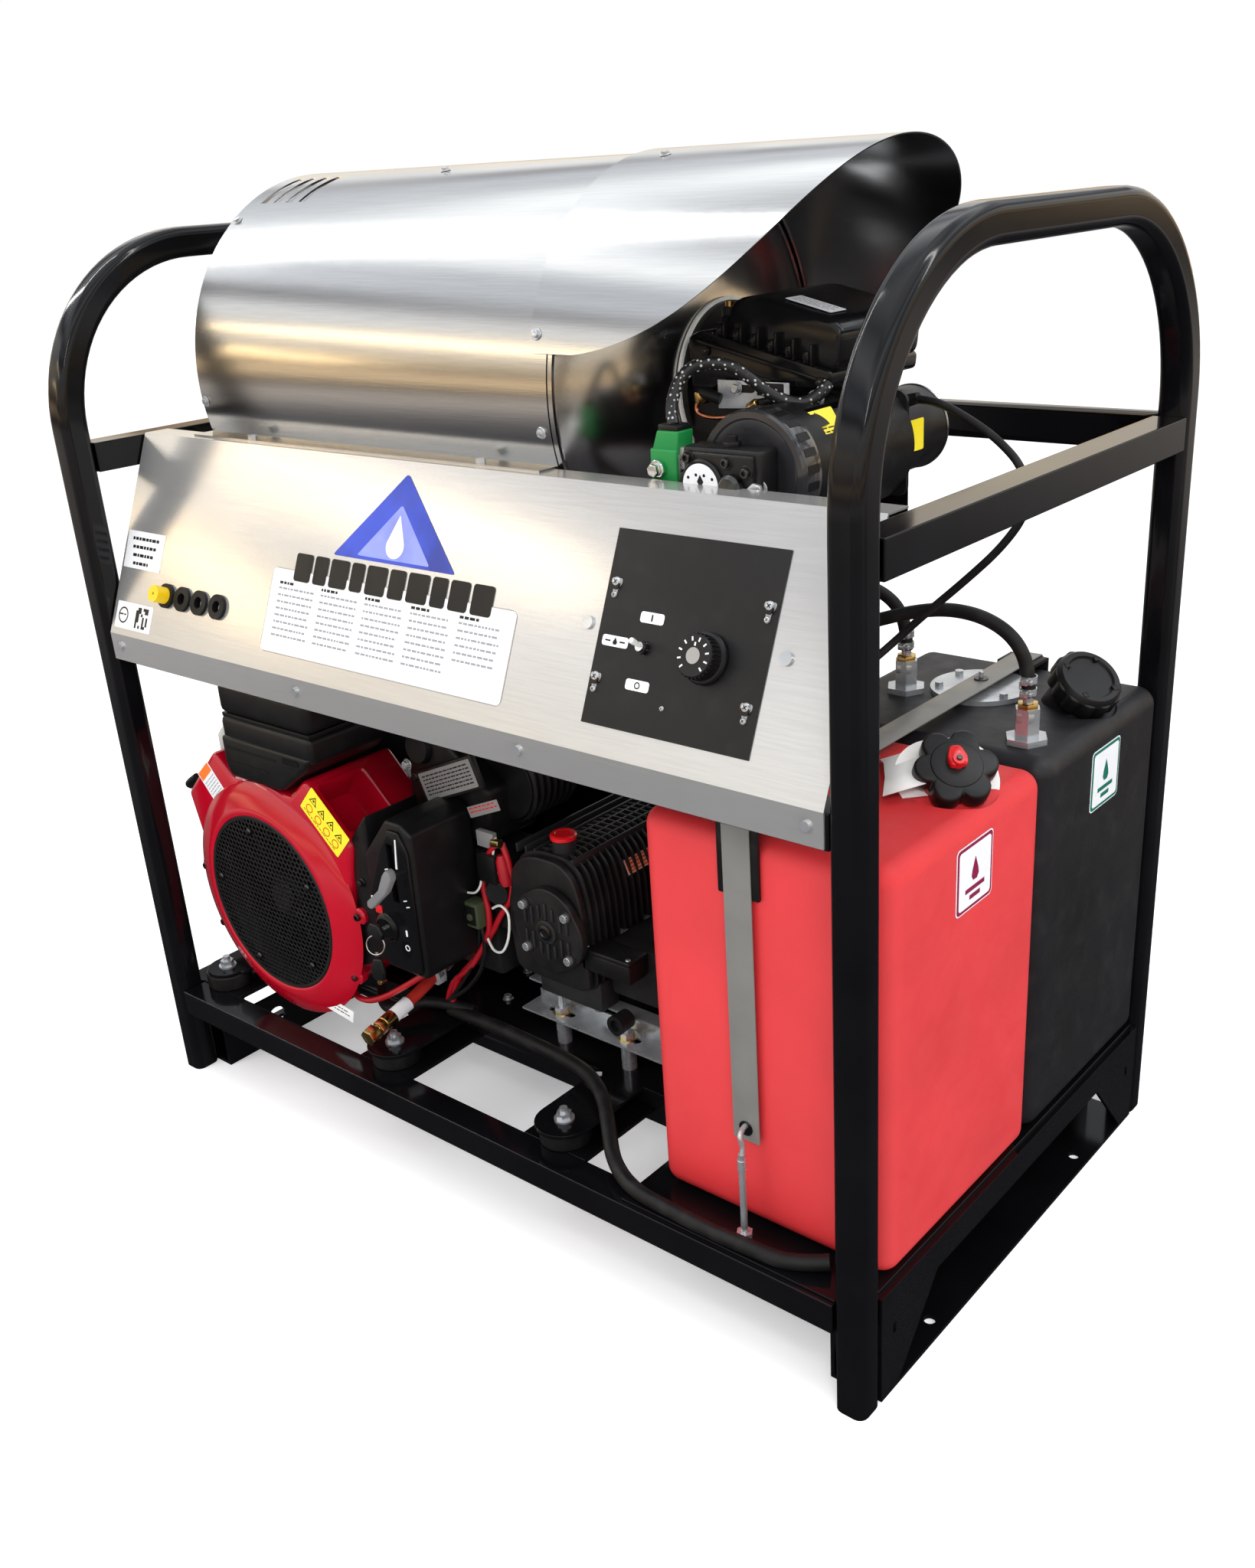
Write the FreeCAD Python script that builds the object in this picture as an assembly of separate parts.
"""Hot-water pressure washer on a square-tube skid, one STEP file per sub-part, in millimetres.

Frame: +X along the skid from the engine end to the tank end, +Y from the operator panel to the back,
+Z up, with the origin on the floor under the middle of the skid.
"""
import FreeCAD, Part
import math
import os

V = FreeCAD.Vector
X_AXIS = V(1, 0, 0)
Y_AXIS = V(0, 1, 0)
Z_AXIS = V(0, 0, 1)
SHEET = 2.0                    # stainless and steel sheet
CURVED_GAP = 0.3               # between curved faces of different bodies
RUNNING_GAP = 0.05             # radial clearance of a shaft in its bore

# Skid frame
LENGTH = 1242.8
WIDTH = 728.7
HEIGHT = 1204.6
TUBE = 38.1
TUBE_WALL = 3.2
HOOP_BEND = 235.0              # outer radius of the hoops' top bends
BASE_TOP = 141.1
MID_TOP = 951.4
LIP_RAIL_TOP = 703.0
INNER_RAIL_Y = 157.0
X_END = LENGTH / 2
Y_END = WIDTH / 2
X_IN = X_END - TUBE
Y_IN = Y_END - TUBE
FLOOR_FLANGE = 66.0
FLOOR_UPSTAND = 78.0
FLOOR_PLATE = 5.0
ANCHOR_HOLE_R = 7.0
ANCHOR_HOLE_Y = 190.0

# Drive tray on rubber isolators
PUCK_X = (-548.0, -168.0, 148.0)
PUCK_Y = 303.0
PUCK_R = 33.0
PUCK_H = 22.0
TRAY_T = 5.0
TRAY_TOP = BASE_TOP + PUCK_H + TRAY_T
TRAY_X = (-560.0, 262.0)
TRAY_HALF_Y = 195.0

# V-twin engine, crankshaft along Y
CRANK_X = -382.0
CRANK_Z = 327.0
SHAFT_R = 20.0
CASE_Y = (-150.0, 60.0)
CYL_FACE = 106.2               # crank centre to the cylinder feet, along each bank
CYL_LEN = 102.0
COVER_LEN = 46.0
CYL_W = 88.0
BANK_ANGLE = 45.0
SHROUD_Y = (-318.0, -152.0)
GRILLE_R = 129.0

# Belt drive and pump, crankshaft along Y
PUMP_X = 61.0
PUMP_Z = 367.0
PUMP_SHAFT_R = 18.0
BELT_Y = (97.0, 115.0)
BELT_W = 12.0
ENGINE_PULLEY_R = 52.0
PUMP_PULLEY_R = 115.0
GROOVE = 8.0

# Water heater, axis along X
HEAT_Y = 20.0
HEAT_Z = 1020.0
WRAP_R = 240.0
WRAP_X = (-484.0, 141.0)
HOOD_X = (118.0, 441.0)
DRUM_R = 234.0
DISH_X = 198.0
BURNER_FLANGE_R = 88.0
BURNER_Z = 1016.0

# Tanks
TANK_X = (306.0, 617.0)
RED_Y = (-306.0, 12.0)
BLACK_Y = (16.0, 325.0)
TANK_Z = (146.0, 630.0)
TANK_EDGE = 22.0
STRAP_X = 440.0
STRAP_W = 35.0

# Control panel
PANEL_X = (-580.0, 579.0)
PANEL_TOP = (-252.0, 953.4)    # y, z of the top bend
PANEL_LOW = (-361.0, 704.0)    # y, z of the lower bend
PANEL_BACK_Y = -217.0
PANEL_LIP_Z = 667.0


def box(x0, x1, y0, y1, z0, z1):
    return Part.makeBox(x1 - x0, y1 - y0, z1 - z0, V(x0, y0, z0))


def rod(radius, start, axis, length):
    return Part.makeCylinder(radius, length, V(*start), axis)


def ring(outer, inner, start, axis, length):
    return rod(outer, start, axis, length).cut(rod(inner, start, axis, length))


def fuse(shapes):
    result = shapes[0]
    for shape in shapes[1:]:
        result = result.fuse(shape)
    return result.removeSplitter()


def group(shapes):
    solids = []
    for shape in shapes:
        solids.extend(shape.Solids)
    return Part.makeCompound(solids)


def prism_y(outline, y0, y1):
    """Extrudes an XZ outline from y0 to y1."""
    points = [V(x, y0, z) for x, z in outline]
    face = Part.Face(Part.makePolygon(points + points[:1]))
    return face.extrude(V(0, y1 - y0, 0))


def prism_x(outline, x0, x1):
    """Extrudes a YZ outline from x0 to x1."""
    points = [V(x0, y, z) for y, z in outline]
    face = Part.Face(Part.makePolygon(points + points[:1]))
    return face.extrude(V(x1 - x0, 0, 0))


def rounded_box(x0, x1, y0, y1, z0, z1, radius, axis="Z"):
    solid = box(x0, x1, y0, y1, z0, z1)
    along = {"X": X_AXIS, "Y": Y_AXIS, "Z": Z_AXIS}[axis]
    edges = []
    for edge in solid.Edges:
        direction = edge.tangentAt(edge.FirstParameter)
        if abs(direction.dot(along)) > 0.99:
            edges.append(edge)
    return solid.makeFillet(radius, edges)


def soft_box(x0, x1, y0, y1, z0, z1, radius):
    solid = box(x0, x1, y0, y1, z0, z1)
    return solid.makeFillet(radius, solid.Edges)


def hollow_tube(x0, x1, y0, y1, z0, z1):
    """Square tube along its longest side, open at both ends."""
    sizes = (x1 - x0, y1 - y0, z1 - z0)
    run = sizes.index(max(sizes))
    low = [x0, y0, z0]
    high = [x1, y1, z1]
    for side in range(3):
        if side != run:
            low[side] += TUBE_WALL
            high[side] -= TUBE_WALL
    inner = box(low[0], high[0], low[1], high[1], low[2], high[2])
    return box(x0, x1, y0, y1, z0, z1).cut(inner)


def smooth_path(points, name):
    """Straight runs joined by tangent arcs, each as large as its two runs allow."""
    corners = [V(*point) for point in points]
    edges = []
    radii = []
    here = corners[0]
    for before, corner, after in zip(corners, corners[1:], corners[2:]):
        inward = before - corner
        outward = after - corner
        shorter = min(inward.Length, outward.Length)
        inward.normalize()
        outward.normalize()
        turn = math.pi - math.acos(max(-1.0, min(1.0, inward.dot(outward))))
        setback = 0.45 * shorter
        radii.append(setback / math.tan(turn / 2))
        arc_start = corner + inward * setback
        arc_end = corner + outward * setback
        to_centre = (inward + outward).normalize()
        centre = corner + to_centre * (setback / math.sin((math.pi - turn) / 2) / math.tan(turn / 2))
        middle = centre - to_centre * radii[-1]
        edges.append(Part.LineSegment(here, arc_start).toShape())
        edges.append(Part.Arc(arc_start, middle, arc_end).toShape())
        here = arc_end
    edges.append(Part.LineSegment(here, corners[-1]).toShape())
    print(name, "arc radii", [round(radius) for radius in radii])
    return Part.Wire(edges)


def cord(points, diameter, name):
    """Round tube of a flexible cord or hose along its route."""
    path = smooth_path(points, name)
    start = V(*points[0])
    direction = (V(*points[1]) - start).normalize()
    section = Part.Wire([Part.makeCircle(diameter / 2, start, direction)])
    tube = path.makePipeShell([section], True, False)
    ideal = math.pi * diameter * diameter / 4 * path.Length
    print(name, "length", round(path.Length), "volume ratio", round(tube.Volume / ideal, 4))
    return tube


# ---------------------------------------------------------------- skid frame
def end_hoop(side):
    """One inverted-U hoop of square tube, standing on the floor."""
    x0 = X_IN if side > 0 else -X_END
    x1 = x0 + TUBE
    spring = HEIGHT - HOOP_BEND
    flat_half = Y_END - HOOP_BEND

    def bend(y_centre, y_out):
        parts = []
        for inset in (0.0, TUBE_WALL):
            low = min(y_out, y_out - math.copysign(TUBE, y_out)) + inset
            face = Part.makePlane(TUBE - 2 * inset, TUBE - 2 * inset, V(x0 + inset, low, spring), Z_AXIS)
            parts.append(face.revolve(V(x0, y_centre, spring), X_AXIS, math.copysign(90, -y_out) * -1))
        return parts[0].cut(parts[1])

    legs = [hollow_tube(x0, x1, -Y_END, -Y_IN, 0, spring), hollow_tube(x0, x1, Y_IN, Y_END, 0, spring)]
    bends = [bend(-flat_half, -Y_END), bend(flat_half, Y_END)]
    top = hollow_tube(x0, x1, -flat_half, flat_half, HEIGHT - TUBE, HEIGHT)
    return fuse(legs + bends + [top])


def base_long_rails():
    """Outer and inner rails between the hoops, with flat pads under the isolators."""
    z0 = BASE_TOP - TUBE
    pieces = []
    for sign in (-1, 1):
        outer = sorted((sign * Y_IN, sign * Y_END))
        pieces.append(hollow_tube(-X_IN, X_IN, outer[0], outer[1], z0, BASE_TOP))
        inner = sorted((sign * INNER_RAIL_Y - TUBE / 2, sign * INNER_RAIL_Y + TUBE / 2))
        pieces.append(hollow_tube(-X_IN, X_IN, inner[0], inner[1], z0, BASE_TOP))
        pad = sorted((sign * (INNER_RAIL_Y + TUBE / 2), sign * Y_IN))
        for x in PUCK_X:
            x0 = max(-X_IN, x - 52)
            pieces.append(box(x0, x + 52, pad[0], pad[1], BASE_TOP - 6, BASE_TOP))
    return group(pieces)


def base_end_frame(side):
    """End rail, floor angle and two slanted gussets, welded between the hoop's legs."""
    x0 = X_IN if side > 0 else -X_END
    x1 = x0 + TUBE
    outer = x1 if side > 0 else x0
    inward = -side
    rail = hollow_tube(x0, x1, -Y_IN, Y_IN, BASE_TOP - TUBE, BASE_TOP)
    flange_x = sorted((outer, outer + inward * FLOOR_FLANGE))
    flange = box(flange_x[0], flange_x[1], -Y_IN, Y_IN, 0, FLOOR_PLATE)
    up_x = sorted((outer + inward * FLOOR_FLANGE, outer + inward * (FLOOR_FLANGE - FLOOR_PLATE)))
    upstand = box(up_x[0], up_x[1], -Y_IN, Y_IN, 0, FLOOR_UPSTAND)
    upstand = upstand.cut(rod(16, (up_x[0] - 1, -230, 40), X_AXIS, FLOOR_PLATE + 2))
    for y in (-ANCHOR_HOLE_Y, ANCHOR_HOLE_Y):
        flange = flange.cut(rod(ANCHOR_HOLE_R, ((x0 + x1) / 2, y, -1), Z_AXIS, FLOOR_PLATE + 2))
    gusset_x = sorted((outer, outer + inward * FLOOR_PLATE))
    gussets = []
    for sign in (-1, 1):
        outline = [(sign * Y_IN, FLOOR_PLATE), (sign * 290, FLOOR_PLATE)]
        outline += [(sign * 208, BASE_TOP - TUBE), (sign * Y_IN, BASE_TOP - TUBE)]
        gusset = prism_x(outline, gusset_x[0], gusset_x[1])
        slot = box(gusset_x[0] - 1, gusset_x[1] + 1, sign * 300 - 3, sign * 300 + 3, 78, 92)
        gussets.append(gusset.cut(slot))
    return fuse([rail, flange, upstand] + gussets)


def base_end_frames():
    return group([base_end_frame(-1), base_end_frame(1)])


def mid_rails():
    """Rails between the hoops at mid height: one each end, one at the back, one behind the panel's lip."""
    z0 = MID_TOP - TUBE
    lip_y = PANEL_LOW[0] + SHEET
    lip_z = LIP_RAIL_TOP - TUBE
    return group([hollow_tube(-X_END, -X_IN, -Y_IN, Y_IN, z0, MID_TOP),
                  hollow_tube(X_IN, X_END, -Y_IN, Y_IN, z0, MID_TOP),
                  hollow_tube(-X_IN, X_IN, Y_IN, Y_END, z0, MID_TOP),
                  hollow_tube(-X_IN, X_IN, lip_y, lip_y + TUBE, lip_z, LIP_RAIL_TOP)])


def tank_tray():
    return box(286, X_END - 8, -Y_END + 6, Y_END - 6, BASE_TOP, BASE_TOP + 3).cut(
        fuse([box(X_IN, X_END, -Y_END, -Y_IN, 0, 400), box(X_IN, X_END, Y_IN, Y_END, 0, 400)]))


def heater_shelf():
    """Folded sheet that carries the heater drum's saddles, hung between the back and lip rails."""
    x0 = -X_IN
    x1 = 262.0
    floor = 742.0
    back = Y_IN - 8
    front = PANEL_LOW[0] + SHEET + TUBE
    pieces = [box(x0, x1, front - SHEET, back, floor, floor + SHEET),
              box(x0, x1, back - SHEET, back, floor, MID_TOP + SHEET),
              box(x0, x1, back - SHEET, Y_END - 6, MID_TOP, MID_TOP + SHEET),
              box(x0, x1, front - SHEET, front, LIP_RAIL_TOP, floor + SHEET),
              box(x0, x1, front - 22, front, LIP_RAIL_TOP, LIP_RAIL_TOP + SHEET)]
    saddle_cut = rod(DRUM_R + CURVED_GAP, (x0, HEAT_Y, HEAT_Z), X_AXIS, x1 - x0)
    for x in (-400.0, 60.0):
        saddle = box(x, x + 30, HEAT_Y - 150, HEAT_Y + 150, floor + SHEET, floor + 110)
        pieces.append(saddle.cut(saddle_cut))
    return fuse(pieces)


# ---------------------------------------------------------------- drive tray
def puck_places():
    return [(x, sign * PUCK_Y) for sign in (-1, 1) for x in PUCK_X]


def drive_tray():
    """Plate with a folded front and back edge, and a round-ended tab over each isolator."""
    z0 = BASE_TOP + PUCK_H
    pieces = [box(TRAY_X[0], TRAY_X[1], -TRAY_HALF_Y, TRAY_HALF_Y, z0, TRAY_TOP)]
    for sign in (-1, 1):
        fold = sorted((sign * TRAY_HALF_Y, sign * (TRAY_HALF_Y - 4)))
        pieces.append(box(TRAY_X[0], TRAY_X[1], fold[0], fold[1], BASE_TOP + 3, z0))
    for x, y in puck_places():
        x0 = max(TRAY_X[0] - 18, x - 38)
        tab = sorted((math.copysign(TRAY_HALF_Y - 5, y), y))
        pieces.append(box(x0, x + 38, tab[0], tab[1], z0, TRAY_TOP))
        pieces.append(rod(38 if x > TRAY_X[0] + 20 else 30, (x, y, z0), Z_AXIS, TRAY_T))
    plate = fuse(pieces)
    for x, y in puck_places():
        plate = plate.cut(rod(6.5, (x, y, z0 - 1), Z_AXIS, TRAY_T + 2))
    return plate


def isolator_pucks():
    pucks = []
    for x, y in puck_places():
        body = rod(PUCK_R, (x, y, BASE_TOP), Z_AXIS, PUCK_H)
        pucks.append(body.cut(rod(6.5, (x, y, BASE_TOP - 1), Z_AXIS, PUCK_H + 2)))
    return group(pucks)


def hex_head(x, y, z, across, height):
    radius = across / math.sqrt(3)
    points = [V(x + radius * math.cos(math.radians(a)), y + radius * math.sin(math.radians(a)), z)
              for a in range(0, 361, 60)]
    return Part.Face(Part.makePolygon(points)).extrude(V(0, 0, height))


STUD_X = (25.0, 140.0)
STUD_PLACES = [(x, y) for y in (-168.0, 22.0) for x in STUD_X]
RAIL_X = (-30.0, 236.0)
RAIL_Z = (210.0, 250.0)


def frame_bolts():
    """Isolator bolts with washers, the pump rails' studs, nuts and spacers, and the strap's long bolts."""
    bolts = []
    for x, y in puck_places():
        shank = rod(5.0, (x, y, BASE_TOP + 1), Z_AXIS, TRAY_TOP - BASE_TOP)
        washer = rod(13.0, (x, y, TRAY_TOP), Z_AXIS, 2.5)
        head = hex_head(x, y, TRAY_TOP + 2.5, 17, 8)
        bolts.append(fuse([shank, washer, head, rod(5.0, (x, y, TRAY_TOP + 10), Z_AXIS, 7)]))
    for x, y in STUD_PLACES:
        stud = rod(5.0, (x, y, TRAY_TOP), Z_AXIS, RAIL_Z[1] - 6 - TRAY_TOP)
        nut_low = hex_head(x, y, RAIL_Z[0] - 9, 17, 9)
        nut_high = hex_head(x, y, RAIL_Z[0] + 3, 17, 9)
        bolts.append(fuse([stud, nut_low, nut_high]))
        bolts.append(ring(10, 5.3, (x, y, TRAY_TOP), Z_AXIS, RAIL_Z[0] - 9 - TRAY_TOP))
    floor = BASE_TOP + 3
    for y in (RED_Y[0] - 25, BLACK_Y[1] + 17):
        shaft = rod(4, (STRAP_X + 6, y, floor + 8), Z_AXIS, 249 - floor)
        bolts.append(fuse([shaft, hex_head(STRAP_X + 6, y, floor, 17, 9)]))
    return group(bolts)


# ---------------------------------------------------------------- engine
def bank_piece(side, near, far, half_w, y0, y1):
    """Block that lies along one cylinder bank, from near to far out of the crank centre."""
    block = box(-half_w, half_w, y0, y1, near, far)
    block.rotate(V(0, 0, 0), Y_AXIS, side * BANK_ANGLE)
    block.translate(V(CRANK_X, 0, CRANK_Z))
    return block


BANK_Y = {-1: (-132.0, -30.0), 1: (-92.0, 10.0)}


def engine_crankcase():
    """Crankcase with its foot flange, drive-side boss, starter motor and exhaust-side lugs."""
    outline = [(-113, TRAY_TOP - CRANK_Z), (113, TRAY_TOP - CRANK_Z), (113, 37), (37, 113), (-37, 113),
               (-113, 37)]
    outline = [(CRANK_X + x, CRANK_Z + z) for x, z in outline]
    body = prism_y(outline, CASE_Y[0], CASE_Y[1])
    foot = box(CRANK_X - 150, CRANK_X + 150, CASE_Y[0] + 10, CASE_Y[1] - 10, TRAY_TOP, TRAY_TOP + 14)
    boss = rod(48, (CRANK_X, CASE_Y[1], CRANK_Z), Y_AXIS, 18)
    starter = rod(33, (CRANK_X - 152, -150, 245), Y_AXIS, 150)
    bridge = box(CRANK_X - 130, CRANK_X - 108, -130, -20, 230, 260)
    bore = rod(SHAFT_R + RUNNING_GAP, (CRANK_X, CASE_Y[0] - 1, CRANK_Z), Y_AXIS, 250)
    return fuse([body, foot, boss, starter, bridge]).cut(bore)


def engine_cylinders():
    """Two finned cylinders with their rocker covers."""
    banks = []
    for side in (-1, 1):
        y0, y1 = BANK_Y[side]
        parts = [bank_piece(side, CYL_FACE, CYL_FACE + CYL_LEN, CYL_W / 2 - 8, y0 + 8, y1 - 8)]
        for index in range(7):
            near = CYL_FACE + 10 + index * 13
            parts.append(bank_piece(side, near, near + 4, CYL_W / 2, y0, y1))
        cover = bank_piece(side, CYL_FACE + CYL_LEN, CYL_FACE + CYL_LEN + COVER_LEN, CYL_W / 2, y0, y1)
        banks.append(fuse(parts))
        banks.append(cover.makeFillet(9, cover.Edges))
    return group(banks)


def shroud_outline(grow):
    """Blower housing seen from the fan side: round below, with an arm over each cylinder bank."""
    half = [(0, -152), (48, -146), (118, -108), (158, -35), (166, 60), (181, 126), (100, 204), (64, 172)]
    right = [(x + grow if x else 0, z + (grow if z > 0 else -grow)) for x, z in half]
    left = [(-x, z) for x, z in reversed(right) if x]
    return [(CRANK_X + x, CRANK_Z + z) for x, z in right + left]


def fan_shroud():
    """Pressed blower housing: open at the back, with a raised round air inlet in front."""
    face = SHROUD_Y[0] + 14
    shell = prism_y(shroud_outline(0), face, SHROUD_Y[1])
    shell = shell.cut(prism_y(shroud_outline(-3), face + 3, SHROUD_Y[1]))
    rim = rod(GRILLE_R + 8, (CRANK_X, SHROUD_Y[0], CRANK_Z), Y_AXIS, 14)
    inlet = rod(GRILLE_R, (CRANK_X, SHROUD_Y[0] - 1, CRANK_Z), Y_AXIS, 20)
    return fuse([shell, rim]).cut(inlet)


def shroud_grille():
    """Domed screen in the inlet: concentric rings tied by spokes."""
    y0 = SHROUD_Y[0] + 1
    centre = (CRANK_X, y0, CRANK_Z)
    parts = [ring(GRILLE_R - CURVED_GAP, GRILLE_R - 10, centre, Y_AXIS, 6)]
    for radius in (100, 76, 52, 28):
        parts.append(ring(radius, radius - 6, centre, Y_AXIS, 6))
    for index in range(8):
        spoke = box(12, GRILLE_R - 5, y0, y0 + 6, -2, 2)
        spoke.rotate(V(0, 0, 0), Y_AXIS, index * 45)
        spoke.translate(V(CRANK_X, 0, CRANK_Z))
        parts.append(spoke)
    parts.append(rod(14, centre, Y_AXIS, 6))
    return fuse(parts)


def engine_flywheel():
    """Flywheel with blower vanes, keyed on the crankshaft."""
    disc = rod(112, (CRANK_X, -262, CRANK_Z), Y_AXIS, 26)
    hub = rod(40, (CRANK_X, -296, CRANK_Z), Y_AXIS, 40)
    vanes = []
    for index in range(16):
        vane = box(52, 108, -294, -262, -2.5, 2.5)
        vane.rotate(V(80, 0, 0), Y_AXIS, 28)
        vane.rotate(V(0, 0, 0), Y_AXIS, index * 22.5)
        vane.translate(V(CRANK_X, 0, CRANK_Z))
        vanes.append(vane)
    bore = rod(SHAFT_R, (CRANK_X, -300, CRANK_Z), Y_AXIS, 80)
    return fuse([disc, hub] + vanes).cut(bore)


def grooved_pulley(x, z, radius):
    y0 = BELT_Y[0] - BELT_W / 2 - 3
    y1 = BELT_Y[1] + BELT_W / 2 + 3
    body = rod(radius, (x, y0, z), Y_AXIS, y1 - y0)
    for y in BELT_Y:
        groove = ring(radius + 1, radius - GROOVE, (x, y - BELT_W / 2 - 0.5, z), Y_AXIS, BELT_W + 1)
        body = body.cut(groove)
    return body


def engine_crankshaft():
    """Straight output shaft with its two-groove pulley."""
    shaft = rod(SHAFT_R, (CRANK_X, -300, CRANK_Z), Y_AXIS, 438)
    return fuse([shaft, grooved_pulley(CRANK_X, CRANK_Z, ENGINE_PULLEY_R)])


def air_cleaner():
    """Air-cleaner housing in the V, with a tapered nose in front of it."""
    upper = rounded_box(-440, -248, -308, -70, 560, 645, 14)
    nose = [(-440, 570), (-440, 520), (-430, 506), (-322, 506), (-262, 548), (-254, 570)]
    plenum = box(-432, -332, -150, -60, 470, 566)
    return fuse([upper, prism_y(nose, -312, -305.5), prism_y(nose, -306, -200), plenum])


LEVER_PIVOT = (-122.0, -270.0, 430.0)
KEY_AXIS = (-148.0, 350.0)
CONTROL_X = (-182.0, -84.0)
CONTROL_Z = (286.0, 506.0)


def control_box():
    """Engine control housing beside the shroud, with a lever slot and a round key switch."""
    x, y, z = LEVER_PIVOT
    body = rounded_box(CONTROL_X[0], CONTROL_X[1], -300, -192, CONTROL_Z[0], CONTROL_Z[1], 14, "Y")
    slot = box(x - 5, x + 5, -301, -286, z - 34, z + 44)
    swing = box(x - 5, x + 5, -292, -262, z - 36, z + 46)
    switch = rod(14, (KEY_AXIS[0], -308, KEY_AXIS[1]), Y_AXIS, 8)
    key_bore = rod(4.05, (KEY_AXIS[0], -310, KEY_AXIS[1]), Y_AXIS, 24)
    arm = box(-268.9, -130, -148, -138, 330, 360).fuse(box(-150, -130, -194, -138, 330, 360))
    pin = rod(2.5, (x - 8, y, z), X_AXIS, 16)
    return fuse([body, switch, arm]).cut(slot).cut(swing).cut(key_bore).fuse(pin)


def choke_lever():
    """Lever through the control box's slot: it swings up and down in the slot."""
    x, y, z = LEVER_PIVOT
    arm = box(x - 3, x + 3, -330, y + 2, z - 3, z + 3)
    hub = rod(6, (x - 3, y, z), X_AXIS, 6)
    grip = soft_box(x - 6, x + 6, -342, -322, z - 16, z + 8, 4)
    bore = rod(2.5 + RUNNING_GAP, (x - 4, y, z), X_AXIS, 8)
    return fuse([arm, hub, grip]).cut(bore)


def ignition_key():
    x, z = KEY_AXIS
    shank = rod(4.0, (x, -308, z), Y_AXIS, 18)
    bow = rounded_box(x - 12, x + 12, -334, -308.3, z - 6, z + 6, 4, "Y")
    return fuse([shank, bow])


def muffler():
    """Cross-mounted muffler behind the engine with two inlet pipes and a tail pipe."""
    body = rod(52, (-560, 215, 474), X_AXIS, 355)
    pipes = [rod(15, (-528, BANK_Y[-1][1] + 0.2, 476), Y_AXIS, 140 - BANK_Y[-1][1] + 60),
             rod(15, (-236, BANK_Y[1][1] + 0.2, 476), Y_AXIS, 140 - BANK_Y[1][1] + 60)]
    tail = rod(17, (-380, 215, 474), Z_AXIS, 90)
    return fuse([body, tail] + pipes)


DRAIN_ROUTE = [(-236, -96, 218), (-210, -112, 234), (-190, -150, 238), (-181, -200, 226),
               (-175, -256, 211), (-172, -312, 200)]
DRAIN_D = 17.0


def oil_drain_hose():
    """Oil-drain hose with a hexagon end fitting, clamped to the tray's edge."""
    hose = cord(DRAIN_ROUTE, DRAIN_D, "oil_drain_hose")
    end = V(*DRAIN_ROUTE[-1])
    direction = (end - V(*DRAIN_ROUTE[-2])).normalize()
    fitting = Part.makeCylinder(11, 34, end, direction)
    return group([hose, fitting])


# ---------------------------------------------------------------- pump
def pump_outline(grow):
    points = [(-70, -77), (-76, -20), (-72, 46), (-50, 78), (-22, 88), (12, 88), (34, 70), (45, 30),
              (48, -77)]
    return [(PUMP_X + x + math.copysign(grow, x), PUMP_Z + z + math.copysign(grow, z)) for x, z in points]


PLUNGER_Y = (-130.0, -85.0, -40.0)
PLUNGER_R = 10.0
OIL_CAP = (PUMP_X - 2, -171.0)
UNLOADER = (170.0, 24.0)
PUMP_Y = (-205.0, 44.0)


def pump_crankcase():
    """Finned crankcase of the three-plunger pump, with feet, bores and a low side box."""
    body = prism_y(pump_outline(0), PUMP_Y[0], PUMP_Y[1])
    fins = []
    for index in range(19):
        y0 = PUMP_Y[0] + 14 + index * 12
        fins.append(prism_y(pump_outline(8), y0, y0 + 4))
    feet = [box(8, 116, y, y + 34, RAIL_Z[1], PUMP_Z - 76) for y in (-186.0, 4.0)]
    side_box = box(104, 184, -204, -170, 320, 352)
    boss = rod(30, (PUMP_X, PUMP_Y[1], PUMP_Z), Y_AXIS, 26)
    cap_seat = rod(15, (OIL_CAP[0], OIL_CAP[1], PUMP_Z + 84), Z_AXIS, 28)
    case = fuse([body] + fins + feet + [side_box, boss, cap_seat])
    case = case.cut(rod(PUMP_SHAFT_R + RUNNING_GAP, (PUMP_X, PUMP_Y[0] + 4, PUMP_Z), Y_AXIS, 300))
    for y in PLUNGER_Y:
        case = case.cut(rod(PLUNGER_R + RUNNING_GAP, (PUMP_X + 28, y, PUMP_Z - 30), X_AXIS, 80))
    cap_bore = rod(8.05, (OIL_CAP[0], OIL_CAP[1], PUMP_Z + 94), Z_AXIS, 30)
    return case.cut(cap_bore)


def pump_bearing_cover():
    """Ribbed end cover with four bolts and a brass sight boss."""
    y0 = PUMP_Y[0] - 16
    plate = rod(60, (PUMP_X, y0 + 4, PUMP_Z), Y_AXIS, 12)
    parts = [plate, rod(13, (PUMP_X, y0 - 4, PUMP_Z), Y_AXIS, 8)]
    for angle in (35, 145, 215, 325):
        x = PUMP_X + 48 * math.cos(math.radians(angle))
        z = PUMP_Z + 48 * math.sin(math.radians(angle))
        parts.append(rod(6.5, (x, y0 - 1, z), Y_AXIS, 5))
    for index in range(-3, 4):
        parts.append(box(PUMP_X + index * 13 - 1.5, PUMP_X + index * 13 + 1.5, y0 + 1, y0 + 4,
                         PUMP_Z - 40 + abs(index) * 5, PUMP_Z + 40 - abs(index) * 5))
    return fuse(parts)


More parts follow.
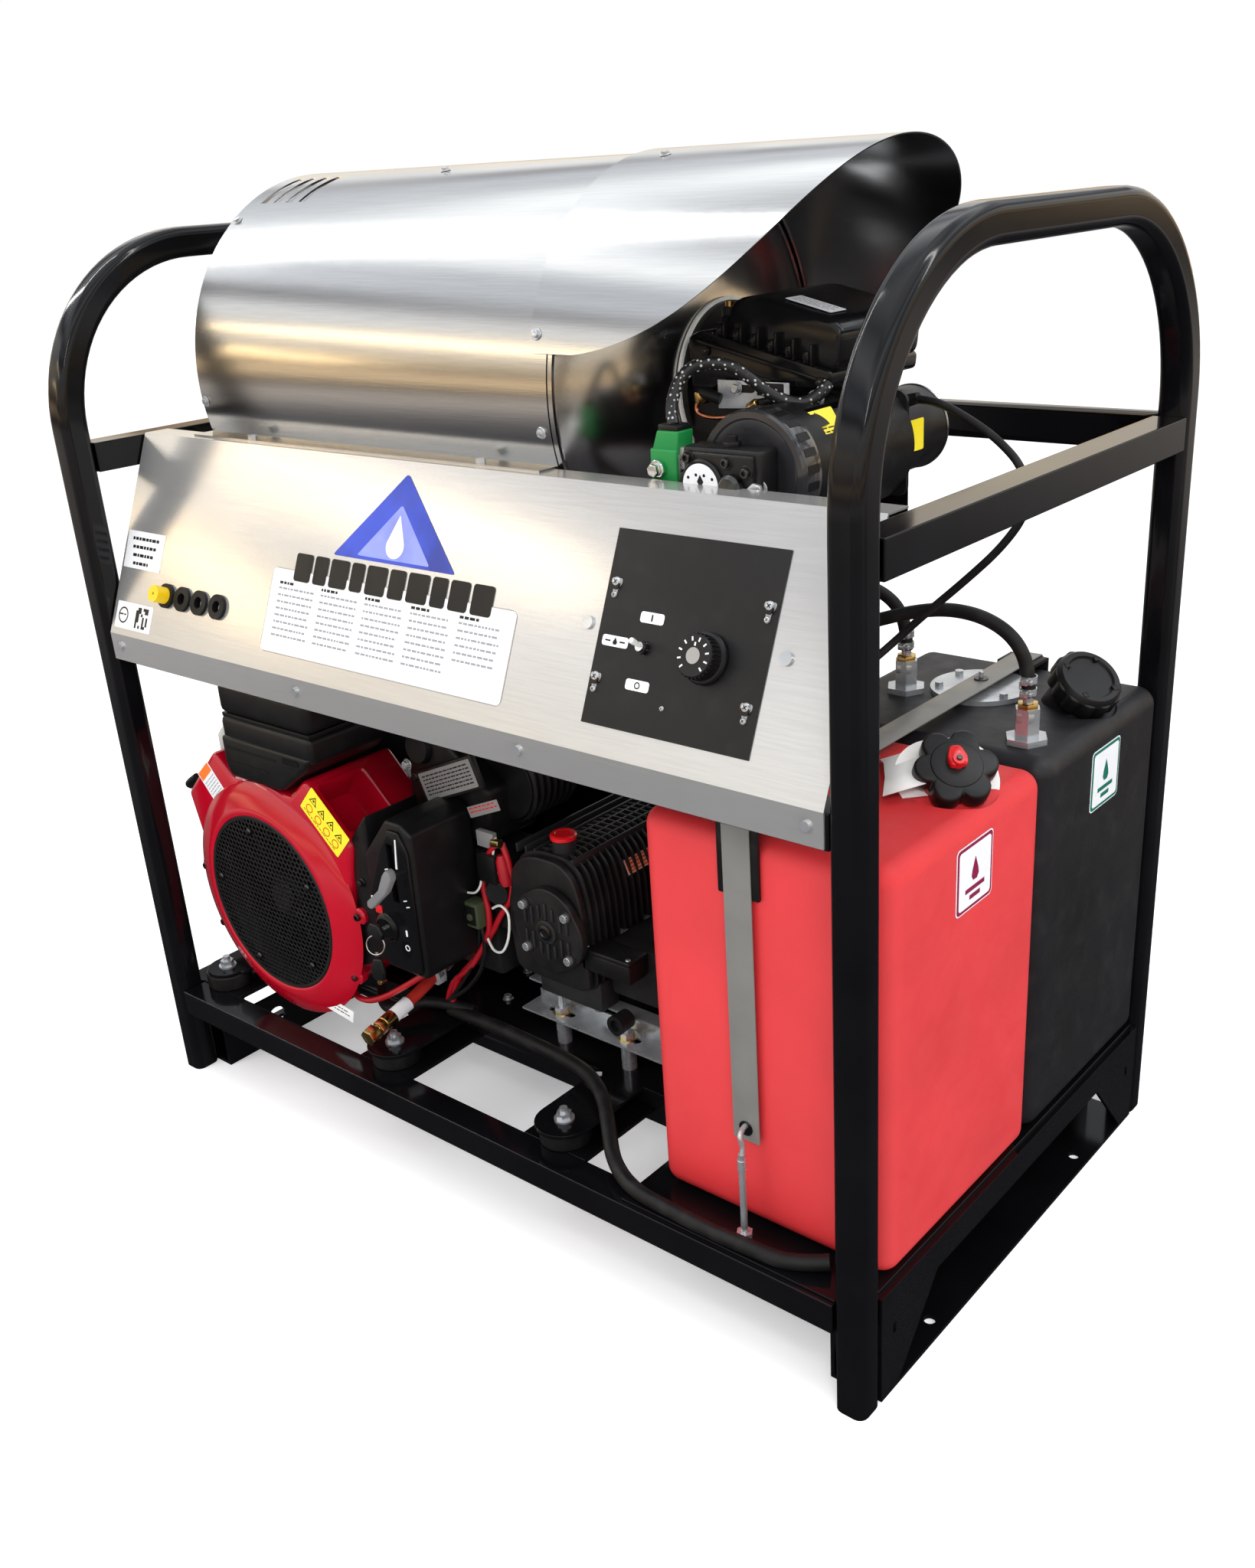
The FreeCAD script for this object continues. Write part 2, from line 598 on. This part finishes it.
def pump_crankshaft():
    """Crankshaft with its two-groove pulley, lightened by five round holes."""
    body = grooved_pulley(PUMP_X, PUMP_Z, PUMP_PULLEY_R)
    for index in range(5):
        hole = rod(24, (66, BELT_Y[0] - 20, 0), Y_AXIS, 60)
        hole.rotate(V(0, 0, 0), Y_AXIS, index * 72)
        hole.translate(V(PUMP_X, 0, PUMP_Z))
        body = body.cut(hole)
    return fuse([body, rod(PUMP_SHAFT_R, (PUMP_X, PUMP_Y[0] + 6, PUMP_Z), Y_AXIS, 330)])


def pump_plungers():
    return group([rod(PLUNGER_R, (PUMP_X + 30, y, PUMP_Z - 30), X_AXIS, 86) for y in PLUNGER_Y])


def pump_head():
    """Valve manifold that the plungers run into, with six valve caps."""
    x0 = PUMP_X + 60
    body = rounded_box(x0, x0 + 88, -168, 0, PUMP_Z - 92, PUMP_Z - 15, 6, "Y")
    parts = [body]
    for y in PLUNGER_Y:
        parts.append(rod(15, (x0 + 60, y, PUMP_Z - 17), Z_AXIS, 12))
        parts.append(rod(15, (x0 + 87, y, PUMP_Z - 50), X_AXIS, 10))
    head = fuse(parts)
    for y in PLUNGER_Y:
        head = head.cut(rod(PLUNGER_R + RUNNING_GAP, (x0 - 1, y, PUMP_Z - 30), X_AXIS, 62))
    return head


def pump_oil_cap():
    x, y = OIL_CAP
    z = PUMP_Z + 112
    stem = rod(8.0, (x, y, z - 14), Z_AXIS, 16)
    disc = rod(17, (x, y, z + CURVED_GAP), Z_AXIS, 8)
    return fuse([stem, disc])


def pump_rails():
    """Two slotted channels, open to the front, that carry the pump's feet."""
    rails = []
    for y in (-189.0, 1.0):
        floor = box(RAIL_X[0], RAIL_X[1], y, y + 40, RAIL_Z[0], RAIL_Z[0] + 3)
        web = box(RAIL_X[0], RAIL_X[1], y + 37, y + 40, RAIL_Z[0], RAIL_Z[1])
        lip = box(RAIL_X[0], RAIL_X[1], y + 18, y + 40, RAIL_Z[1] - 3, RAIL_Z[1])
        channel = fuse([floor, web, lip])
        for x in STUD_X:
            channel = channel.cut(rounded_box(x - 22, x + 22, y + 14.5, y + 27.5, RAIL_Z[0] - 1,
                                              RAIL_Z[0] + 4, 6))
            channel = channel.cut(box(x - 58, x - 30, y + 36, y + 41, RAIL_Z[0] + 14, RAIL_Z[0] + 26))
        rails.append(channel)
    return group(rails)


def unloader_valve():
    """Pressure-relief body on the pump head."""
    x, y = UNLOADER
    z0 = PUMP_Z - 20
    body = rounded_box(x - 22, x + 22, y - 20, y + 20, z0 - 40, z0 + 40, 6)
    stem = rod(11, (x, y, z0 + 40), Z_AXIS, 12)
    link = box(x - 16, x + 16, 0.0, 5.0, z0 - 36, z0 - 6)
    bore = rod(5.05, (x, y, z0 + 20), Z_AXIS, 40)
    return fuse([body, stem, link]).cut(bore)


def unloader_knob():
    x, y = UNLOADER
    z0 = PUMP_Z - 20 + 52 + CURVED_GAP
    knob = rod(17, (x, y, z0), Z_AXIS, 22)
    for index in range(8):
        angle = math.radians(index * 45)
        knob = knob.cut(rod(3, (x + 18.5 * math.cos(angle), y + 18.5 * math.sin(angle), z0), Z_AXIS, 22))
    return fuse([knob, rod(5.0, (x, y, z0 - 24), Z_AXIS, 25)])


def belt_outline(offset, y):
    """Closed loop round both pulleys, at offset outside their radii."""
    r1 = ENGINE_PULLEY_R + offset
    r2 = PUMP_PULLEY_R + offset
    dx = PUMP_X - CRANK_X
    dz = PUMP_Z - CRANK_Z
    span = math.hypot(dx, dz)
    slope = math.atan2(dz, dx)
    lean = math.acos((r1 - r2) / span)

    def at(x, z, radius, angle):
        return V(x + radius * math.cos(angle), y, z + radius * math.sin(angle))

    top = slope + lean
    low = slope - lean
    points = [at(CRANK_X, CRANK_Z, r1, top), at(CRANK_X, CRANK_Z, r1, slope + math.pi),
              at(CRANK_X, CRANK_Z, r1, low), at(PUMP_X, PUMP_Z, r2, low), at(PUMP_X, PUMP_Z, r2, slope),
              at(PUMP_X, PUMP_Z, r2, top)]
    edges = [Part.Arc(points[0], points[1], points[2]).toShape(),
             Part.LineSegment(points[2], points[3]).toShape(),
             Part.Arc(points[3], points[4], points[5]).toShape(),
             Part.LineSegment(points[5], points[0]).toShape()]
    return Part.Face(Part.Wire(edges))


def drive_belts():
    belts = []
    for y in BELT_Y:
        y0 = y - BELT_W / 2
        outer = belt_outline(1.0, y0).extrude(V(0, BELT_W, 0))
        inner = belt_outline(CURVED_GAP - GROOVE, y0).extrude(V(0, BELT_W, 0))
        belts.append(outer.cut(inner))
    return group(belts)


def belt_guard():
    """Sheet guard round the belts: closed at the back, standing on two feet."""
    y0 = 82.0
    y1 = 142.0
    outer = belt_outline(24.0, y0).extrude(V(0, y1 - y0, 0))
    inner = belt_outline(22.0, y0).extrude(V(0, y1 - y0 - SHEET, 0))
    feet = [box(x, x + 44, y0 + 20, y1, TRAY_TOP, 300) for x in (-320.0, 40.0)]
    return fuse([outer] + feet).cut(inner)


# ---------------------------------------------------------------- heater and burner
def heater_wrap():
    """Rolled stainless jacket, more than half round, with a foot flange along each side."""
    foot_z = PANEL_TOP[1]
    x0, x1 = WRAP_X
    shell = ring(WRAP_R, WRAP_R - SHEET, (x0, HEAT_Y, HEAT_Z), X_AXIS, x1 - x0)
    shell = shell.cut(box(x0 - 1, x1 + 1, -400, 400, 700, foot_z))
    reach = math.sqrt(WRAP_R ** 2 - (HEAT_Z - foot_z) ** 2)
    front = box(x0, x1, HEAT_Y - reach - 30, HEAT_Y - reach + 1, foot_z, foot_z + SHEET)
    back = box(x0, x1, HEAT_Y + reach - 1, Y_IN + 6, foot_z, foot_z + SHEET)
    inside = rod(WRAP_R - SHEET, (x0, HEAT_Y, HEAT_Z), X_AXIS, x1 - x0)
    wrap = fuse([shell, front.cut(inside), back.cut(inside)])
    for index in range(4):
        x = x0 + 26 + index * 26
        slot = box(x, x + 12, HEAT_Y - 120, HEAT_Y - 52, HEAT_Z + 150, HEAT_Z + 300)
        wrap = wrap.cut(slot)
    return wrap


def heater_hood():
    """Half-round visor over the burner, cut away in a long curve."""
    x0, x1 = HOOD_X
    radius = WRAP_R + SHEET + 0.2
    shell = ring(radius + 1.5, radius, (x0, HEAT_Y, HEAT_Z), X_AXIS, x1 - x0)
    low = HEAT_Z + radius * math.cos(math.radians(77.5))
    shell = shell.cut(box(x0 - 1, x1 + 1, -400, 400, 600, low))
    tip = V(x1 + 0.5, -400, HEAT_Z + radius + 4)
    heel = V(x0 + 28, -400, low - 2)
    curve = Part.Arc(heel, V(x0 + 216, -400, 1132), tip).toShape()
    corner = V(x1 + 60, -400, low - 2)
    edges = [curve, Part.LineSegment(tip, V(x1 + 60, -400, tip.z)).toShape(),
             Part.LineSegment(V(x1 + 60, -400, tip.z), corner).toShape(),
             Part.LineSegment(corner, heel).toShape()]
    return shell.cut(Part.Face(Part.Wire(edges)).extrude(V(0, 800, 0)))


def heater_drum():
    """Coil can: closed at the engine end, with a bead and a dished head at the burner end."""
    x0 = WRAP_X[0] + 6
    x1 = WRAP_X[1] + 8

    def profile(radius, dish, start, lip):
        points = [V(start, 0, 0), V(start, 0, radius), V(x1 - lip, 0, radius)]
        edges = [Part.LineSegment(points[0], points[1]).toShape(),
                 Part.LineSegment(points[1], points[2]).toShape()]
        bulge = V(x1 + 30 - lip, 0, radius - 62)
        flange = V(dish, 0, BURNER_FLANGE_R - 6)
        edges.append(Part.Arc(points[2], bulge, flange).toShape())
        edges.append(Part.LineSegment(flange, V(dish, 0, 0)).toShape())
        edges.append(Part.LineSegment(V(dish, 0, 0), points[0]).toShape())
        solid = Part.Face(Part.Wire(edges)).revolve(V(0, 0, 0), X_AXIS, 360)
        solid.translate(V(0, HEAT_Y, HEAT_Z))
        return solid

    drum = profile(DRUM_R, DISH_X, x0, 0).cut(profile(DRUM_R - 5, DISH_X - 4, x0 + 4, 4))
    bead = ring(DRUM_R + 5, DRUM_R - 2, (WRAP_X[1] + 1, HEAT_Y, HEAT_Z), X_AXIS, 6)
    mouth = rod(58, (DISH_X - 40, HEAT_Y, BURNER_Z), X_AXIS, 60)
    return fuse([drum, bead]).cut(mouth)


def heater_coil():
    """Water coil: turns of steel pipe inside the can."""
    turns = []
    for index in range(14):
        turn = Part.makeTorus(196, 13, V(WRAP_X[0] + 50 + index * 40, HEAT_Y, HEAT_Z), X_AXIS)
        turns.append(turn)
    return group(turns)


BURNER_X = DISH_X + 12
FAN_X = 376.0
FAN_Z = 958.0


def burner_housing():
    """Burner casting: round flange, blast tube into the can and a box-shaped blower scroll."""
    flange = rod(BURNER_FLANGE_R, (DISH_X + 4, HEAT_Y, BURNER_Z), X_AXIS, 8)
    tube = ring(54, 50, (DISH_X - 60, HEAT_Y, BURNER_Z), X_AXIS, 70)
    neck = fuse([box(BURNER_X - 1, 300, HEAT_Y - 78, HEAT_Y + 78, 952, 1022),
                 box(300, 330, -46, 26, 952, 1022)])
    scroll = rod(66, (FAN_X, -46, FAN_Z), Y_AXIS, 72)
    cavity = rod(61, (FAN_X, -42, FAN_Z), Y_AXIS, 64)
    axle = rod(8.05, (FAN_X, 20, FAN_Z), Y_AXIS, 10)
    duct = box(250, FAN_X - 40, -38, 18, 962, 1006)
    shape = fuse([flange, tube, neck, scroll]).cut(cavity).cut(duct)
    bore = rod(50, (DISH_X - 60, HEAT_Y, BURNER_Z), X_AXIS, 100)
    return shape.cut(bore).cut(axle)


def burner_gasket():
    return ring(BURNER_FLANGE_R + 4, 58, (DISH_X + 0.5, HEAT_Y, BURNER_Z), X_AXIS, 3.5)


def burner_motor():
    """Motor behind the scroll, and the slotted blower drum in front of it."""
    drum = rod(62, (FAN_X, -176, FAN_Z), Y_AXIS, 130)
    cuts = []
    for index in range(5):
        slot = box(46, 64, -122, -60, -5, 5)
        slot.rotate(V(0, 0, 0), Y_AXIS, -62 + index * 24)
        slot.translate(V(FAN_X, 0, FAN_Z))
        cuts.append(slot)
    drum = drum.cut(fuse(cuts))
    motor = rod(46, (FAN_X, 26, FAN_Z), Y_AXIS, 108)
    plate = rounded_box(FAN_X - 56, FAN_X + 56, 26, 31, FAN_Z - 56, FAN_Z + 56, 12, "Y")
    motor = fuse([motor, plate]).cut(rod(8.05, (FAN_X, 20, FAN_Z), Y_AXIS, 40))
    return group([drum, motor])


def burner_fan():
    """Blower wheel on the motor's stub shaft."""
    back = rod(58, (FAN_X, 8, FAN_Z), Y_AXIS, 4)
    rim = ring(58, 50, (FAN_X, -36, FAN_Z), Y_AXIS, 4)
    hub = rod(16, (FAN_X, -6, FAN_Z), Y_AXIS, 18)
    stub = rod(8.0, (FAN_X, 8, FAN_Z), Y_AXIS, 44)
    blades = []
    for index in range(20):
        blade = box(49, 57, -34, 10, -1, 1)
        blade.rotate(V(53, 0, 0), Y_AXIS, 35)
        blade.rotate(V(0, 0, 0), Y_AXIS, index * 18)
        blade.translate(V(FAN_X, 0, FAN_Z))
        blades.append(blade)
    return fuse([back, rim, hub, stub] + blades)


def igniter_box():
    """Ignition transformer: sloping box over the burner neck."""
    lower = [(224, 1022.2), (330, 1022.2), (346, 1028), (404, 1028), (404, 1046), (240, 1082), (224, 1076)]
    lid = [(262, 1077), (412, 1044), (416, 1088), (402, 1096), (304, 1120), (272, 1108)]
    body = prism_y(lower, -78, 92)
    cover = prism_y(lid, -74, 82)
    return fuse([body, cover])


def burner_fuel_pump():
    """Oil pump on the front of the blower drum, with its solenoid valve beside it."""
    block = rounded_box(312, 408, -210, -176.3, 932, 988, 8, "Y")
    nose = rod(26, (342, -214, 956), Y_AXIS, 4)
    solenoid = rounded_box(266, 302, -206, -176, 950, 1000, 4, "Y")
    nut = rod(9, (279, -216, 964), Y_AXIS, 12)
    link = box(302, 312, -200, -184, 956, 976)
    return fuse([block, nose, solenoid, nut, link])


# ---------------------------------------------------------------- control panel
def slope_point(distance, lift=0.0):
    """y and z at a distance down the sloping face, raised off it by lift."""
    run = (PANEL_LOW[0] - PANEL_TOP[0], PANEL_LOW[1] - PANEL_TOP[1])
    length = math.hypot(*run)
    along = (run[0] / length, run[1] / length)
    normal = (along[1], -along[0])
    return (PANEL_TOP[0] + along[0] * distance + normal[0] * lift,
            PANEL_TOP[1] + along[1] * distance + normal[1] * lift)


def slope_normal():
    y0, z0 = slope_point(0)
    y1, z1 = slope_point(0, 1.0)
    return V(0, y1 - y0, z1 - z0)


TOGGLE = (338.0, 157.0)
KNOB = (417.0, 156.0)
NOZZLES = ((-465.0, 208.0), (-429.0, 208.0), (-392.0, 208.0), (-353.0, 208.0))
KEYHOLES = ((288.0, 100.0), (477.0, 100.0), (285.0, 197.0), (474.0, 197.0))


def slope_rod(place, radius, low, high):
    """Cylinder square to the sloping face, from low to high above it."""
    y, z = slope_point(place[1], low)
    return Part.makeCylinder(radius, high - low, V(place[0], y, z), slope_normal())


def control_panel():
    """Stainless front panel: top flange, long slope, vertical lip and a folded-in hem at each end."""
    x0, x1 = PANEL_X
    top_y, top_z = PANEL_TOP
    low_y, low_z = PANEL_LOW
    inner_top = slope_point(0, -SHEET)
    inner_low = slope_point(269, -SHEET)
    outline = [(PANEL_BACK_Y, top_z), (top_y, top_z), (low_y, low_z), (low_y, PANEL_LIP_Z),
               (low_y + SHEET, PANEL_LIP_Z), (low_y + SHEET, inner_low[1]), (inner_top[0], top_z - SHEET),
               (PANEL_BACK_Y, top_z - SHEET)]
    panel = prism_x(outline, x0, x1)
    for place in NOZZLES:
        panel = panel.cut(slope_rod(place, 12.0, -6, 6))
    panel = panel.cut(slope_rod(TOGGLE, 7.0, -6, 6))
    panel = panel.cut(slope_rod(KNOB, 5.0, -6, 6))
    return panel


def switch_plate():
    """Black switch-box lid on the slope, with the switch box behind it."""
    lid = []
    for x, distance in ((277, 43), (488, 43), (488, 242), (277, 242)):
        lid.append((x, distance))
    low = [V(x, *slope_point(distance, 0)) for x, distance in lid]
    face = Part.Face(Part.makePolygon(low + low[:1]))
    plate = face.extrude(slope_normal() * 1.5)
    box_low = [V(x, *slope_point(distance, -SHEET)) for x, distance in
               ((300, 115), (465, 115), (465, 225), (300, 225))]
    back = Part.Face(Part.makePolygon(box_low + box_low[:1])).extrude(slope_normal() * -34)
    for place in (TOGGLE, KNOB):
        plate = plate.cut(slope_rod(place, 7.3 if place == TOGGLE else 5.3, -1, 6))
    bushing = slope_rod(TOGGLE, 7.0, -SHEET, 7.0).cut(slope_rod(TOGGLE, 4.0, -3, 8))
    back = back.cut(slope_rod(KNOB, 3.05, -30, 0)).cut(slope_rod(TOGGLE, 4.0, -16, 0))
    screws = [slope_rod(place, 5.0, 1.5, 4.0) for place in KEYHOLES]
    return group([plate, back.fuse(bushing)] + screws)


def toggle_pivot():
    y, z = slope_point(TOGGLE[1], 2.0)
    return V(TOGGLE[0], y, z)


def toggle_switch():
    """Bat-handle lever: it tips up or down the slope about its ball."""
    ball = Part.makeSphere(3.6, toggle_pivot())
    bat = Part.makeCone(2.0, 3.2, 20, toggle_pivot(), slope_normal())
    bat.rotate(toggle_pivot(), X_AXIS, -12)
    return fuse([ball, bat])


def thermostat_knob():
    knob = slope_rod(KNOB, 24, 1.8, 9).fuse(slope_rod(KNOB, 17, 9, 24))
    grip = []
    for index in range(12):
        angle = math.radians(index * 30)
        place = (KNOB[0] + 18.5 * math.cos(angle), KNOB[1] + 18.5 * math.sin(angle))
        grip.append(slope_rod(place, 2.4, 9, 25))
    knob = knob.cut(fuse(grip))
    return fuse([knob, slope_rod(KNOB, 3.0, -22, 2)])


def nozzle_grommets():
    """Rubber grommets that hold the spray nozzles."""
    rings = []
    for place in NOZZLES:
        collar = slope_rod(place, 16, 0, 4.5).fuse(slope_rod(place, 11.9, -5, 0.5))
        rings.append(collar.cut(slope_rod(place, 7.5, -8, 8)))
    return group(rings)


def spray_nozzle():
    """Quick-change nozzle parked in the first grommet."""
    body = slope_rod(NOZZLES[0], 7.3, -22, 4.6).fuse(slope_rod(NOZZLES[0], 11.0, 4.6, 22))
    return body.cut(slope_rod(NOZZLES[0], 2.0, -30, 30))


PANEL_SCREW_X = (-560.0, -184.0, 192.0, 560.0)


def panel_screws():
    """Lip screws, top-flange bolts and the two large side screws beside the switch plate."""
    screws = []
    for x in PANEL_SCREW_X:
        screws.append(rod(5.5, (x, PANEL_LOW[0] - 3, 687), Y_AXIS, 3))
    for x in (-372.0, 42.0):
        screws.append(hex_head(x, -230, PANEL_TOP[1] + SHEET, 10, 5))
    for place in ((260.0, 142.0), (506.0, 142.0)):
        screws.append(slope_rod(place, 7.0, 0, 3.0))
    return group(screws)


# ---------------------------------------------------------------- tanks
RED_CAP_AXIS = V(0.45, -0.42, 0.79).normalize()
RED_CAP_BASE = V(563, -94, 646)
RED_CAP_R = 46.0
BLACK_CAP_AXIS = V(0.56, -0.25, 0.79).normalize()
BLACK_CAP_BASE = V(566, 205, 650)
BLACK_CAP_R = 43.0


def moulded_tank(x0, y0, y1, top, cap_base, cap_axis, cap_r):
    """Blow-moulded tank with a filler neck that leans out of a round recess in its top."""
    body = soft_box(x0, TANK_X[1], y0, y1, TANK_Z[0], top, TANK_EDGE)
    recess = Part.makeCylinder(cap_r + 6, 90, cap_base - cap_axis * 6, cap_axis)
    neck = Part.makeCylinder(cap_r - 12, 46, cap_base - cap_axis * (46 + CURVED_GAP), cap_axis)
    return body.cut(recess).fuse(neck).removeSplitter()


def front_tank():
    return moulded_tank(TANK_X[0], RED_Y[0], RED_Y[1], TANK_Z[1] - 2, RED_CAP_BASE, RED_CAP_AXIS, RED_CAP_R)


def rear_tank():
    return moulded_tank(TANK_X[0] - 16, BLACK_Y[0], BLACK_Y[1], TANK_Z[1], BLACK_CAP_BASE, BLACK_CAP_AXIS,
                        BLACK_CAP_R)


def lobed_cap(base, axis, radius, height, lobes, notch):
    """Screw cap with rounded notches round its skirt."""
    cap = Part.makeCylinder(radius, height, base, axis)
    side = axis.cross(Z_AXIS).normalize()
    for index in range(lobes):
        direction = FreeCAD.Rotation(axis, (index + 0.5) * 360 / lobes).multVec(side)
        cap = cap.cut(Part.makeCylinder(notch, height + 4, base + direction * (radius + notch / 2), axis))
    return cap


def front_tank_cap():
    """Vented cap: six lobes and a small vent screw on top."""
    cap = lobed_cap(RED_CAP_BASE, RED_CAP_AXIS, RED_CAP_R, 20, 6, 9)
    vent = Part.makeCylinder(15, 9, RED_CAP_BASE + RED_CAP_AXIS * 19, RED_CAP_AXIS)
    return fuse([cap, vent])


def rear_tank_cap():
    return lobed_cap(BLACK_CAP_BASE, BLACK_CAP_AXIS, BLACK_CAP_R, 30, 4, 7)


HOSE_FITTINGS = ((566.0, 68.0), (360.0, 152.0))
SENDER = (438.0, 200.0)
SENDER_R = 62.0


def tank_fittings():
    """Sender plate with its gasket and bolts, and two hose-barb fittings."""
    top = TANK_Z[1]
    plate = rod(SENDER_R, (SENDER[0], SENDER[1], top + 0.2), Z_AXIS, 6)
    parts = [plate]
    for index in range(6):
        angle = math.radians(30 + index * 60)
        x = SENDER[0] + 51 * math.cos(angle)
        y = SENDER[1] + 51 * math.sin(angle)
        parts.append(hex_head(x, y, top + 6, 10, 5))
    pieces = [fuse(parts)]
    for x, y in HOSE_FITTINGS:
        seat = hex_head(x, y, top + 0.2, 44, 7)
        body = hex_head(x, y, top + 7, 26, 34)
        barb = rod(6, (x, y, top + 40), Z_AXIS, 14)
        pieces.append(fuse([seat, body, barb]))
    return group(pieces)


def tank_strap():
    """One steel strap over both tanks, with an eye at each end and rubber pads at the corners."""
    x0 = STRAP_X - STRAP_W / 2
    x1 = STRAP_X + STRAP_W / 2
    top = TANK_Z[1] + 12
    front = RED_Y[0] - 5
    back = BLACK_Y[1] + 5
    band = [box(x0, x1, front, back, top, top + SHEET), box(x0, x1, front - SHEET, front, 262, top + SHEET),
            box(x0, x1, back, back + SHEET, 262, top + SHEET)]
    strap = fuse(band)
    for y in (front - 4, back - 2):
        strap = strap.cut(rod(7, (STRAP_X, y, 278), Y_AXIS, 6))
    pads = []
    for face, outward in ((RED_Y[0], -1), (BLACK_Y[1], 1)):
        side = sorted((face + outward * 5, face + outward * 0.5))
        over = sorted((face + outward * 5, face - outward * 40))
        pads.append(fuse([box(STRAP_X - 26, STRAP_X + 26, side[0], side[1], 560, top),
                          box(STRAP_X - 26, STRAP_X + 26, over[0], over[1], top - 11, top)]))
    return group([strap] + pads)


# ---------------------------------------------------------------- hoses and cables
BARB_TOP = TANK_Z[1] + 54
HOSE_D = 16.0
CABLE_D = 9.0
LOOM_D = 19.0
HOSE_RIGHT_ROUTE = [(566, 68, BARB_TOP), (566, 68, 714), (549, 67, 748), (513, 65, 768),
                    (468, 61, 773), (421, 55, 764), (378, 40, 750), (343, 8, 744), (324, -40, 758),
                    (322, -90, 788), (330, -136, 826), (343, -170, 866), (350, -190, 900),
                    (350, -192, 930)]
HOSE_LEFT_ROUTE = [(360, 152, BARB_TOP), (360, 152, 712), (346, 147, 745), (312, 136, 764),
                   (272, 114, 772), (246, 78, 780), (238, 34, 794), (248, -14, 814), (270, -60, 838),
                   (294, -106, 860), (314, -150, 880), (326, -182, 903), (328, -191, 929.5)]
CABLE_ROUTE = [(424, 62, 1000), (446, 62, 1000), (486, 60, 984), (524, 58, 964), (556, 56, 936),
               (566, 50, 896), (546, 34, 858), (508, 20, 818), (468, 8, 780), (434, -14, 742),
               (410, -56, 712), (398, -108, 700), (392, -158, 712), (388, -200, 744), (386, -232, 776)]
LOOM_ROUTE = [(-150, -212, 180), (-100, -214, 183), (-44, -214, 184), (14, -216, 184), (72, -220, 185),
              (128, -232, 188), (176, -258, 184), (214, -294, 172), (248, -326, 159), (294, -346, 152),
              (352, -349, 152), (410, -351, 151), (468, -349, 152), (520, -344, 151), (554, -322, 156)]


def tank_hose_right():
    return cord(HOSE_RIGHT_ROUTE, HOSE_D, "tank_hose_right")


def tank_hose_left():
    return cord(HOSE_LEFT_ROUTE, HOSE_D, "tank_hose_left")


def burner_cable():
    return cord(CABLE_ROUTE, CABLE_D, "burner_cable")


def wiring_loom():
    return cord(LOOM_ROUTE, LOOM_D, "wiring_loom")


NODES = {
    "end_hoop_left": lambda: end_hoop(-1),
    "end_hoop_right": lambda: end_hoop(1),
    "base_long_rails": base_long_rails,
    "base_end_frames": base_end_frames,
    "mid_rails": mid_rails,
    "tank_tray": tank_tray,
    "heater_shelf": heater_shelf,
    "drive_tray": drive_tray,
    "isolator_pucks": isolator_pucks,
    "frame_bolts": frame_bolts,
    "engine_crankcase": engine_crankcase,
    "engine_cylinders": engine_cylinders,
    "fan_shroud": fan_shroud,
    "shroud_grille": shroud_grille,
    "engine_flywheel": engine_flywheel,
    "engine_crankshaft": engine_crankshaft,
    "air_cleaner": air_cleaner,
    "control_box": control_box,
    "choke_lever": choke_lever,
    "ignition_key": ignition_key,
    "muffler": muffler,
    "oil_drain_hose": oil_drain_hose,
    "pump_crankcase": pump_crankcase,
    "pump_bearing_cover": pump_bearing_cover,
    "pump_crankshaft": pump_crankshaft,
    "pump_plungers": pump_plungers,
    "pump_head": pump_head,
    "pump_oil_cap": pump_oil_cap,
    "pump_rails": pump_rails,
    "unloader_valve": unloader_valve,
    "unloader_knob": unloader_knob,
    "drive_belts": drive_belts,
    "belt_guard": belt_guard,
    "heater_wrap": heater_wrap,
    "heater_hood": heater_hood,
    "heater_drum": heater_drum,
    "heater_coil": heater_coil,
    "burner_housing": burner_housing,
    "burner_gasket": burner_gasket,
    "burner_motor": burner_motor,
    "burner_fan": burner_fan,
    "igniter_box": igniter_box,
    "burner_fuel_pump": burner_fuel_pump,
    "control_panel": control_panel,
    "switch_plate": switch_plate,
    "toggle_switch": toggle_switch,
    "thermostat_knob": thermostat_knob,
    "nozzle_grommets": nozzle_grommets,
    "spray_nozzle": spray_nozzle,
    "panel_screws": panel_screws,
    "front_tank": front_tank,
    "front_tank_cap": front_tank_cap,
    "rear_tank": rear_tank,
    "rear_tank_cap": rear_tank_cap,
    "tank_fittings": tank_fittings,
    "tank_strap": tank_strap,
    "tank_hose_right": tank_hose_right,
    "tank_hose_left": tank_hose_left,
    "burner_cable": burner_cable,
    "wiring_loom": wiring_loom,
}

os.makedirs("parts", exist_ok=True)
for node_name, make in NODES.items():
    shape = make()
    if not shape.isValid():
        print("invalid shape:", node_name)
    shape.exportStep("parts/" + node_name + ".step")
print(len(NODES), "nodes")
